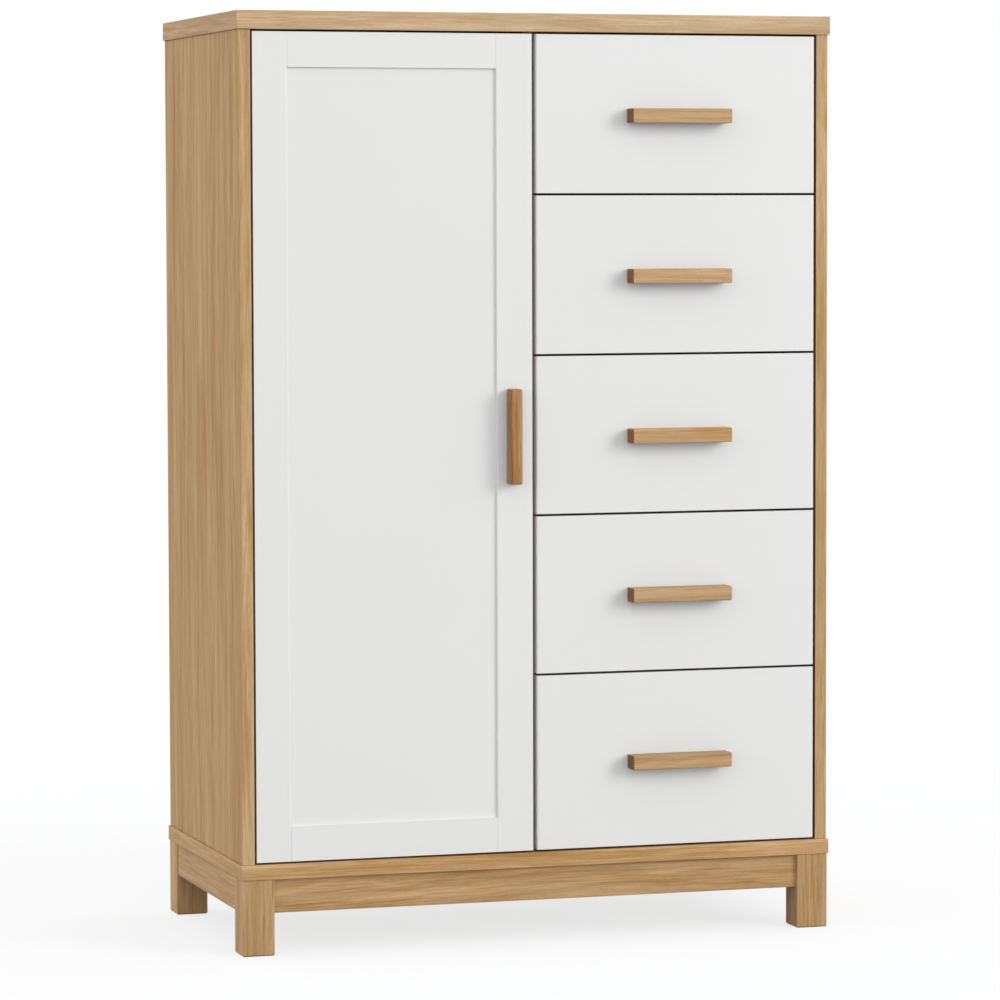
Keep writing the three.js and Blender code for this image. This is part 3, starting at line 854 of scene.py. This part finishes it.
# The door pull's long sides get its painted shade.
add_pull("door_pull", "door", "z", shift, DOOR_PULL_TONE, DOOR_PULL_OAK, DOOR_PULL_SHADE_OAK)
print("pulls made:", len(PULL_TONES), "level ones and the door's")

# %% [markdown]
# ## Inside: measured solids that only need a finish
# The shelf, the partition, the drawer bottoms, the hinges and the rod have their full shape
# already. They keep their solids and only take a material.

# %% Finishes for the inside
PALE_WOOD = {"Light": (226, 203, 168), "Dark": (205, 178, 138), "Pore": (176, 146, 106)}
BACK_WOOD = {"Light": (190, 160, 124), "Dark": (168, 138, 102), "Pore": (140, 112, 80)}
INNER_TONE = 0.98
METAL_FINISH = {"Metallic": 1.0}
BRUSHED_RELIEF = (0.1, 0.02 * MM)


def metal(name, base, clouded, gloss, cloud_scale, relief=None):
    values = {"Base": screen_colour(*base), "Clouded": screen_colour(*clouded), "Gloss": gloss}
    values.update({"Gloss Change": 0.12, "Cloud Scale": cloud_scale, "Grain Scale": 2500.0})
    return group_material(name, cloudy_surface, values, relief=relief, finish=METAL_FINISH)


def finish_node(name, material):
    for place in nodes[name].material_slots:
        place.material = material


inner_oak = oak("inner_oak", "z", (3.0, 8.0, 1.0), INNER_TONE)
shelf_oak = oak("shelf_oak", "x", (2.0, 4.0, 6.0), INNER_TONE)
back_oak = oak("back_oak", "z", (1.0, 2.0, 0.0), 1.0, BACK_WOOD, pores=0.2, gloss=0.6)
box_wood = oak("drawer_wood", "y", (0.5, 1.0, 0.0), 1.0, PALE_WOOD, pores=0.2)
nickel = metal("nickel_plate", (196, 196, 194), (180, 180, 179), 0.3, 60.0, BRUSHED_RELIEF)
chrome = metal("chrome_plate", (215, 216, 218), (205, 206, 208), 0.1, 25.0)

finish_node("centre_partition", inner_oak)
finish_node("wardrobe_shelf", shelf_oak)
for drawer in DRAWERS:
    finish_node(drawer + "_bottom", box_wood)
for level in LEVELS:
    finish_node(level + "_hinge_cup", nickel)
    finish_node(level + "_hinge_arm", nickel)
for name in ("hanging_rod", "left_rod_socket", "right_rod_socket"):
    finish_node(name, chrome)
print("inner wood, nickel and chrome given to the solids that stay")

# %% [markdown]
# ## Dovetailed drawer boxes
# A drawer is pulled open by its front, so its corners are locked with dovetails. The two sides
# carry the tails, which grow wider toward the board's end. The front and back walls carry the pins
# between them: seen from the side, a pin is a block of end grain, narrow at the end of the board
# and wide inside. Each pin is cut out of the side board with a hair to spare, and put in as a piece
# of its own, a shade darker.

# %% Drawer boxes
WALL = 15 * MM
TAILS = 3
PIN_WIDTH = 7 * MM
PIN_SPREAD = 2.5 * MM
GLUE_LINE = 0.1 * MM
OVERCUT = 0.5 * MM
BOX_EASE = 0.6 * MM
PIN_WOOD = {"Light": (205, 176, 134), "Dark": (178, 148, 108), "Pore": (140, 108, 74)}

cross_wood = oak("drawer_cross_wood", "x", (2.5, 4.0, 1.0), 1.0, PALE_WOOD, pores=0.2)
pin_wood = oak("drawer_pin_wood", "x", (5.5, 2.0, 3.0), 1.0, PIN_WOOD, pores=0.5)


def add_pin(x, y, z, board_z, cutter=False):
    """A pin, narrow at the first y and wide at the second. Its cutter is a hair larger."""
    hair, over = (GLUE_LINE, OVERCUT) if cutter else (0.0, 0.0)
    narrow_y = y[0] + math.copysign(over, y[0] - y[1])
    at_edge = [near(end, edge) for end, edge in zip(z, board_z)]
    z = (z[0] - (over if at_edge[0] else hair), z[1] + (over if at_edge[1] else hair))
    low = (x[0] - over, min(narrow_y, y[1]), z[0])
    high = (x[1] + over, max(narrow_y, y[1]), z[1])
    pin = add_block("pin", low, high)
    bpy.ops.object.mode_set(mode="EDIT")
    for end, step, fixed in zip(z, (PIN_SPREAD, -PIN_SPREAD), at_edge):
        if not fixed:
            pick("verts", lambda vert: near(vert.co.y, narrow_y) and near(vert.co.z, end))
            bpy.ops.transform.translate(value=(0, 0, step))
    bpy.ops.object.mode_set(mode="OBJECT")
    return pin


def pin_places(low, high):
    """The pins of one box: where each lies along y and z, for the front and the back wall."""
    pitch = (high.z - low.z) / TAILS
    reach = PIN_WIDTH / 2 + PIN_SPREAD
    for y in ((low.y, low.y + WALL), (high.y, high.y - WALL)):
        for number in range(TAILS + 1):
            middle_z = low.z + number * pitch
            yield y, (max(middle_z - reach, low.z), min(middle_z + reach, high.z))


def box_side(x, low, high, groove, bed):
    """One side board with its grooves and sockets cut, and the pins that fill the sockets."""
    side = add_block("side", (x[0], low.y, low.z), (x[1], high.y, high.z))
    ease_edges(side, BOX_EASE, 2, lambda edge: direction(edge) == Y)
    subtract(side, add_block("groove", *groove))
    subtract(side, add_block("bed", *bed))
    pins = []
    for y, z in pin_places(low, high):
        subtract(side, add_pin(x, y, z, (low.z, high.z), cutter=True))
        pins.append(add_pin(x, y, z, (low.z, high.z)))
        pins[-1].data.materials.append(pin_wood)
    side.data.materials.append(box_wood)
    return [side, *pins]


def box_wall(y, low, high, bed):
    """The front or the back wall, between the sides."""
    wall = add_block("wall", (low.x + WALL, y[0], low.z), (high.x - WALL, y[1], high.z))
    ease_edges(wall, BOX_EASE, 2, lambda edge: direction(edge) == X)
    subtract(wall, add_block("bed", *bed))
    wall.data.materials.append(cross_wood)
    return wall


def box_shape(drawer, low, high):
    bed = grown(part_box(drawer + "_bottom"), PLAY)
    boards = []
    for hand, x in (("left", (low.x, low.x + WALL)), ("right", (high.x - WALL, high.x))):
        groove = grown(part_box(f"{drawer}_{hand}_runner"), PLAY)
        groove[1].y = high.y + OVERCUT
        boards += box_side(x, low, high, groove, bed)
    for y in ((low.y, low.y + WALL), (high.y - WALL, high.y)):
        boards.append(box_wall(y, low, high, bed))
    box = join("box", boards)
    smooth(box)
    return box


for drawer in DRAWERS:
    shape = lambda low, high: box_shape(drawer, low, high)
    box = model_once(drawer + "_dovetailed_box", "drawer box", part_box(drawer + "_box"), shape)
    fit_out(box, drawer, "drawer_wood", replaces=[drawer + "_box"])
print("boxes made, with", TAILS, "tails at each end of a side")

# %% [markdown]
# ## Screws
# Screws show wherever a door or drawer is open: in the hinges, in the rod sockets, in the runners
# and behind the pulls. Each is a low dome with a cross pressed into it. One of each size is built
# at the origin, looking up. Its copies are turned the way they are driven, and all that move
# together are joined into one piece.

# %% A screw
RIGHTWARD, LEFTWARD, BACKWARD = (1, 0, 0), (-1, 0, 0), (0, 1, 0)
DOME_SHARE = 0.55
TOP_SHARE = 0.9
CROSS_LENGTH_SHARE = 0.6
CROSS_WIDTH_SHARE = 0.13
CROSS_DEPTH_SHARE = 0.6


def screw_mesh(radius, height):
    """A screw head that stands on the origin."""
    head = add_disc((0, 0, height / 2), radius, height)
    ease_edges(head, DOME_SHARE * height, 3, lambda edge: middle(edge).z > TOP_SHARE * height)
    long, wide = radius * CROSS_LENGTH_SHARE, radius * CROSS_WIDTH_SHARE
    for reach in ((long, wide), (wide, long)):
        low = (-reach[0], -reach[1], height * (1 - CROSS_DEPTH_SHARE))
        subtract(head, add_block("cross", low, (*reach, 2 * height)))
    mesh = head.data.copy()
    bpy.data.objects.remove(head)
    return mesh


screw_meshes = {}


def add_screw(size, place, out):
    """A screw head of some radius and height that stands on a surface and looks outward."""
    if size not in screw_meshes:
        screw_meshes[size] = screw_mesh(*size)
    turn = Vector(out).to_track_quat("Z", "Y").to_matrix().to_4x4()
    return place_copy("screw", screw_meshes[size], Matrix.Translation(place) @ turn)


def centre(box):
    return (box[0] + box[1]) / 2


def add_screws(name, body, heads):
    screws = join(name, heads)
    smooth(screws)
    fit_out(screws, body, "hinge_steel", nickel)


# %% Screws of the hinges, the rod and the door pull
# The radius and height of each kind of head.
EAR_SCREW = (3.2 * MM, 0.9 * MM)
WING_SCREW = (3.4 * MM, 1.4 * MM)
ARM_SCREW = (3.2 * MM, 1.2 * MM)
FLANGE_SCREW = (2.9 * MM, 1.1 * MM)
PULL_SCREW = (4.4 * MM, 1.8 * MM)

EAR_SCREW_REACH = 18.5 * MM
WING_SCREW_REACH = 20.5 * MM
WING_FROM_ARM_END = 27 * MM
PLATE_T = 2 * MM
ARM_RISE = 9.7 * MM
ARM_SCREWS_FROM_END = (18 * MM, 41 * MM)
FLANGE_T = 3 * MM
FLANGE_SCREW_REACH = 19.8 * MM
FLANGE_SCREW_TURNS = (90, 210, 330)
PULL_SCREW_REACH = 48 * MM

case_heads, door_heads = [], []
for level in LEVELS:
    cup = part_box(level + "_hinge_cup")
    for side in (-1, 1):
        place = (centre(cup).x, cup[1].y, centre(cup).z + side * EAR_SCREW_REACH)
        door_heads.append(add_screw(EAR_SCREW, place, BACKWARD))
    arm_low, arm_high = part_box(level + "_hinge_arm")
    middle_z = (arm_low.z + arm_high.z) / 2
    for side in (-1, 1):
        wing_z = middle_z + side * WING_SCREW_REACH
        place = (arm_low.x + PLATE_T, arm_high.y - WING_FROM_ARM_END, wing_z)
        case_heads.append(add_screw(WING_SCREW, place, RIGHTWARD))
    for from_end in ARM_SCREWS_FROM_END:
        place = (arm_low.x + ARM_RISE, arm_high.y - from_end, middle_z)
        case_heads.append(add_screw(ARM_SCREW, place, RIGHTWARD))

for name, out in (("left_rod_socket", RIGHTWARD), ("right_rod_socket", LEFTWARD)):
    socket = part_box(name)
    face_x = socket[0].x + FLANGE_T if out == RIGHTWARD else socket[1].x - FLANGE_T
    for turn in map(math.radians, FLANGE_SCREW_TURNS):
        along = FLANGE_SCREW_REACH * math.cos(turn)
        up = FLANGE_SCREW_REACH * math.sin(turn)
        place = (face_x, centre(socket).y + along, centre(socket).z + up)
        case_heads.append(add_screw(FLANGE_SCREW, place, out))

door_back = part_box("door_lock_stile")[1].y
pull_middle = centre(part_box("door_pull"))
for side in (-1, 1):
    place = (pull_middle.x, door_back, pull_middle.z + side * PULL_SCREW_REACH)
    door_heads.append(add_screw(PULL_SCREW, place, BACKWARD))
add_screws("case_screws", "case", case_heads)
add_screws("door_screws", "door", door_heads)
print("screws in the case:", len(case_heads), "in the door:", len(door_heads))

# %% Screws inside the drawers
FRONT_SCREW = (3.6 * MM, 1.2 * MM)
FRONT_SCREW_INSET = 34 * MM
FRONT_SCREW_RISE = 47.6 * MM

for drawer in DRAWERS:
    low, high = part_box(drawer + "_box")
    inner_y = low.y + WALL
    pull_middle = centre(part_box(drawer + "_pull"))
    heads = []
    for side in (-1, 1):
        place = (pull_middle.x + side * PULL_SCREW_REACH, inner_y, pull_middle.z)
        heads.append(add_screw(PULL_SCREW, place, BACKWARD))
    for x in (low.x + WALL + FRONT_SCREW_INSET, high.x - WALL - FRONT_SCREW_INSET):
        for z in (low.z + FRONT_SCREW_RISE, high.z - FRONT_SCREW_INSET):
            heads.append(add_screw(FRONT_SCREW, (x, inner_y, z), BACKWARD))
    add_screws(drawer + "_screws", drawer, heads)
print("screws in each drawer:", len(heads))

# %% [markdown]
# ## Runners
# A hardwood runner fills the groove of a drawer side with a hair of play, so its screw heads sit
# below its face, each in a round counterbore. Its edges are rounded so that it slides.

# %% Drawer runners
RUNNER_ROUND = 1.2 * MM
BORE_R = 3.8 * MM
BORE_DEPTH = 2.4 * MM
RUNNER_SCREW = (3.4 * MM, 1.6 * MM)
RUNNER_SCREW_PLACES = (0.08, 0.5, 0.92)


def bore_places(low, high, out):
    """Where the middles of a runner's bores are, on the face that looks into the opening."""
    face_x = high.x if out == RIGHTWARD else low.x
    for share in RUNNER_SCREW_PLACES:
        yield Vector((face_x, low.y + share * (high.y - low.y), (low.z + high.z) / 2))


def runner_shape(low, high, out):
    runner = add_block("runner", low, high)
    ease_edges(runner, RUNNER_ROUND, 2, lambda edge: direction(edge) == Y)
    for place in bore_places(low, high, out):
        subtract(runner, add_disc(place, BORE_R, 2 * BORE_DEPTH, "x"))
    smooth(runner)
    return runner


def add_runner(drawer, hand, out):
    """One runner. Gives its screws."""
    name = f"{drawer}_{hand}_runner"
    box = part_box(name)
    shape = lambda low, high: runner_shape(low, high, out)
    runner = model_once(name + "_wood", hand + " runner", box, shape)
    fit_out(runner, "case", "drawer_wood", box_wood, replaces=[name])
    places = [place - BORE_DEPTH * Vector(out) for place in bore_places(*box, out)]
    return [add_screw(RUNNER_SCREW, place, out) for place in places]


for drawer in DRAWERS:
    heads = add_runner(drawer, "left", RIGHTWARD) + add_runner(drawer, "right", LEFTWARD)
    add_screws(drawer + "_runner_screws", "case", heads)
print("runners fixed with", len(heads), "screws a drawer")

# %% [markdown]
# ## The back
# The back board lies in a rebate and is nailed all round and to the partition. The heads stand
# proud of the board, which is let in by as much, so that nothing passes the case.

# %% Back board and nails
BACK_EASE = 0.5 * MM
NAIL_PROUD = 0.4 * MM
NAIL_R = 2.2 * MM
NAIL_INSET = 5 * MM
NAIL_PITCH = 0.15

low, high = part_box("back_panel")
back = add_block("back_board", low, high - Vector((0, NAIL_PROUD, 0)))
ease_edges(back, BACK_EASE, 2)
smooth(back)
fit_out(back, "case", "back_board", back_oak, replaces=["back_panel"])


def evenly(start, end):
    """Places from start to end, about a nail pitch apart."""
    count = round((end - start) / NAIL_PITCH)
    return [start + (end - start) * step / count for step in range(count + 1)]


columns = (low.x + NAIL_INSET, centre(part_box("centre_partition")).x, high.x - NAIL_INSET)
rows = (low.z + NAIL_INSET, high.z - NAIL_INSET)
spots = [(x, z) for x in columns for z in evenly(*rows)]
for side in (columns[:2], columns[1:]):
    spots += [(x, z) for z in rows for x in evenly(*side)[1:-1]]

nail = add_disc((0, 0, 0), NAIL_R, NAIL_PROUD, "y", sides=16)
ease_edges(nail, NAIL_PROUD / 2, 2, lambda edge: middle(edge).y > NAIL_PROUD / 4)
nail_y = high.y - NAIL_PROUD / 2
moves = [Matrix.Translation((x, nail_y, z)) for x, z in sorted(spots)]
back_nails = join("back_nails", [place_copy("nail", nail.data, move) for move in moves])
bpy.data.objects.remove(nail)
smooth(back_nails)
fit_out(back_nails, "case", "hinge_steel", nickel)
print("back board held by", len(spots), "nails")

# %% [markdown]
# ## Door bumpers
# Two clear silicone drops on the back of the door keep it from knocking against the partition.

# %% Bumpers
BUMPER_R = 2.7 * MM
BUMPER_T = 1.6 * MM
BUMPER_ROUND = 0.9 * MM
BUMPER_FROM_END = 60 * MM

looks = {"Base": screen_colour(236, 238, 238), "Clouded": screen_colour(228, 230, 231)}
looks["Gloss"] = 0.25
clear = group_material("clear_silicone", cloudy_surface, looks, finish={"Transmission Weight": 0.7})
drop = add_disc((0, 0, 0), BUMPER_R, BUMPER_T, "y")
ease_edges(drop, BUMPER_ROUND, 4, lambda edge: middle(edge).y > BUMPER_T / 4)
smooth(drop)
stile_low, stile_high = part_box("door_lock_stile")
bumper_x = stile_high.x - BUMPER_R - ARRIS / 2
bumper_y = stile_high.y + BUMPER_T / 2
bumper_heights = (stile_low.z + BUMPER_FROM_END, stile_high.z - BUMPER_FROM_END)
for name, z in zip(("low_bumper", "high_bumper"), bumper_heights):
    bumper = place_copy(name, drop.data, Matrix.Translation((bumper_x, bumper_y, z)))
    bumper.data.materials.append(clear)
    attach(bumper, "door")
bpy.data.objects.remove(drop)
print("bumpers on the door, up to y", stile_high.y + BUMPER_T)

# %% [markdown]
# ## Floor and light
# The cabinet stands on a pale studio floor that runs into a white background. Near the cabinet the
# floor is partly a real surface, so that it keeps a soft shadow. Further out it turns into plain
# white. It throws back less light than it shows, and that deepens the undersides and the gaps. The
# background is plain white to the camera and to reflections, and lights the cabinet at a level of
# its own: bright all round and darker overhead, so that shadows under the pulls stay soft.

# %% The floor
FLOOR_SIZE = 80
FLOOR_NEAR = 1.0
FLOOR_FAR = 2.2
FLOOR_SHADOW_SHARE = 0.34
FLOOR_GLOW = 1.142
FLOOR_SHOWN = (223, 225, 230)
FLOOR_BOUNCE = (168, 168, 169)
WHITE = (1, 1, 1, 1)

bpy.ops.object.select_all(action="DESELECT")
bpy.ops.mesh.primitive_plane_add(size=FLOOR_SIZE, location=(0, 0, 0))
floor = bpy.context.object
floor.name = "floor"


def direct_rays(tree):
    """1 for rays from the camera, or seen in metal or through glass, else 0."""
    path = tree.nodes.new("ShaderNodeLightPath").outputs
    seen = math_node(tree, "MAXIMUM", path["Is Camera Ray"], path["Is Glossy Ray"])
    return math_node(tree, "MAXIMUM", seen, path["Is Transmission Ray"])


def make_floor_material():
    material = bpy.data.materials.new("studio_floor")
    material.use_nodes = True
    tree = material.node_tree
    tree.nodes.clear()
    seen = direct_rays(tree)
    bounce, shown = screen_colour(*FLOOR_BOUNCE), screen_colour(*FLOOR_SHOWN)
    paint = add_node(tree, "ShaderNodeBsdfDiffuse", Color=mix_colours(tree, seen, bounce, shown))
    glow = add_node(tree, "ShaderNodeEmission", Color=WHITE, Strength=FLOOR_GLOW)
    white = add_node(tree, "ShaderNodeEmission", Color=WHITE, Strength=1.0)
    place = tree.nodes.new("ShaderNodeTexCoord").outputs["Object"]
    reach = vector_math(tree, "LENGTH", place).outputs["Value"]
    far = map_range(tree, reach, FLOOR_NEAR, FLOOR_FAR, curve="SMOOTHSTEP")
    glow_share = math_node(tree, "MULTIPLY", seen, 1.0 - FLOOR_SHADOW_SHARE)
    close_by = mix_shaders(tree, glow_share, paint, glow)
    whole = mix_shaders(tree, math_node(tree, "MULTIPLY", far, seen), close_by, white)
    add_node(tree, "ShaderNodeOutputMaterial", Surface=whole.outputs[0])
    return material


floor.data.materials.append(make_floor_material())
print("floor fades to white between", FLOOR_NEAR, "and", FLOOR_FAR, "metres")

# %% The background and the lamp
HORIZON_LIGHT = 1.485
ZENITH_LIGHT = 0.56
KEY_PLACE = (8.3, -8.3, 4.4)
KEY_AIM = (0, 0, 0.75)
KEY_SIZE = 5.0
KEY_WATTS = 500

world = bpy.data.worlds.new("studio")
bpy.context.scene.world = world
world.use_nodes = True
tree = world.node_tree
tree.nodes.clear()
sky_place = tree.nodes.new("ShaderNodeTexCoord").outputs["Generated"]
height = add_node(tree, "ShaderNodeSeparateXYZ", Vector=sky_place).outputs["Z"]
fade = map_range(tree, height, 0.0, 1.0, results=(HORIZON_LIGHT, ZENITH_LIGHT))
light = add_node(tree, "ShaderNodeBackground", Color=WHITE, Strength=fade)
shown = add_node(tree, "ShaderNodeBackground", Color=WHITE, Strength=1.0)
both = mix_shaders(tree, direct_rays(tree), light, shown)
add_node(tree, "ShaderNodeOutputWorld", Surface=both.outputs[0])

lamp = bpy.data.lights.new("key_light", "AREA")
lamp.shape = "SQUARE"
lamp.size = KEY_SIZE
lamp.energy = KEY_WATTS
key_light = bpy.data.objects.new("key_light", lamp)
bpy.context.scene.collection.objects.link(key_light)
key_light.location = KEY_PLACE
aim = Vector(KEY_AIM) - Vector(KEY_PLACE)
key_light.rotation_euler = aim.to_track_quat("-Z", "Y").to_euler()
bpy.context.scene.view_settings.view_transform = "Standard"
print("light", HORIZON_LIGHT, "at the horizon,", ZENITH_LIGHT, "overhead, lamp at", KEY_PLACE)
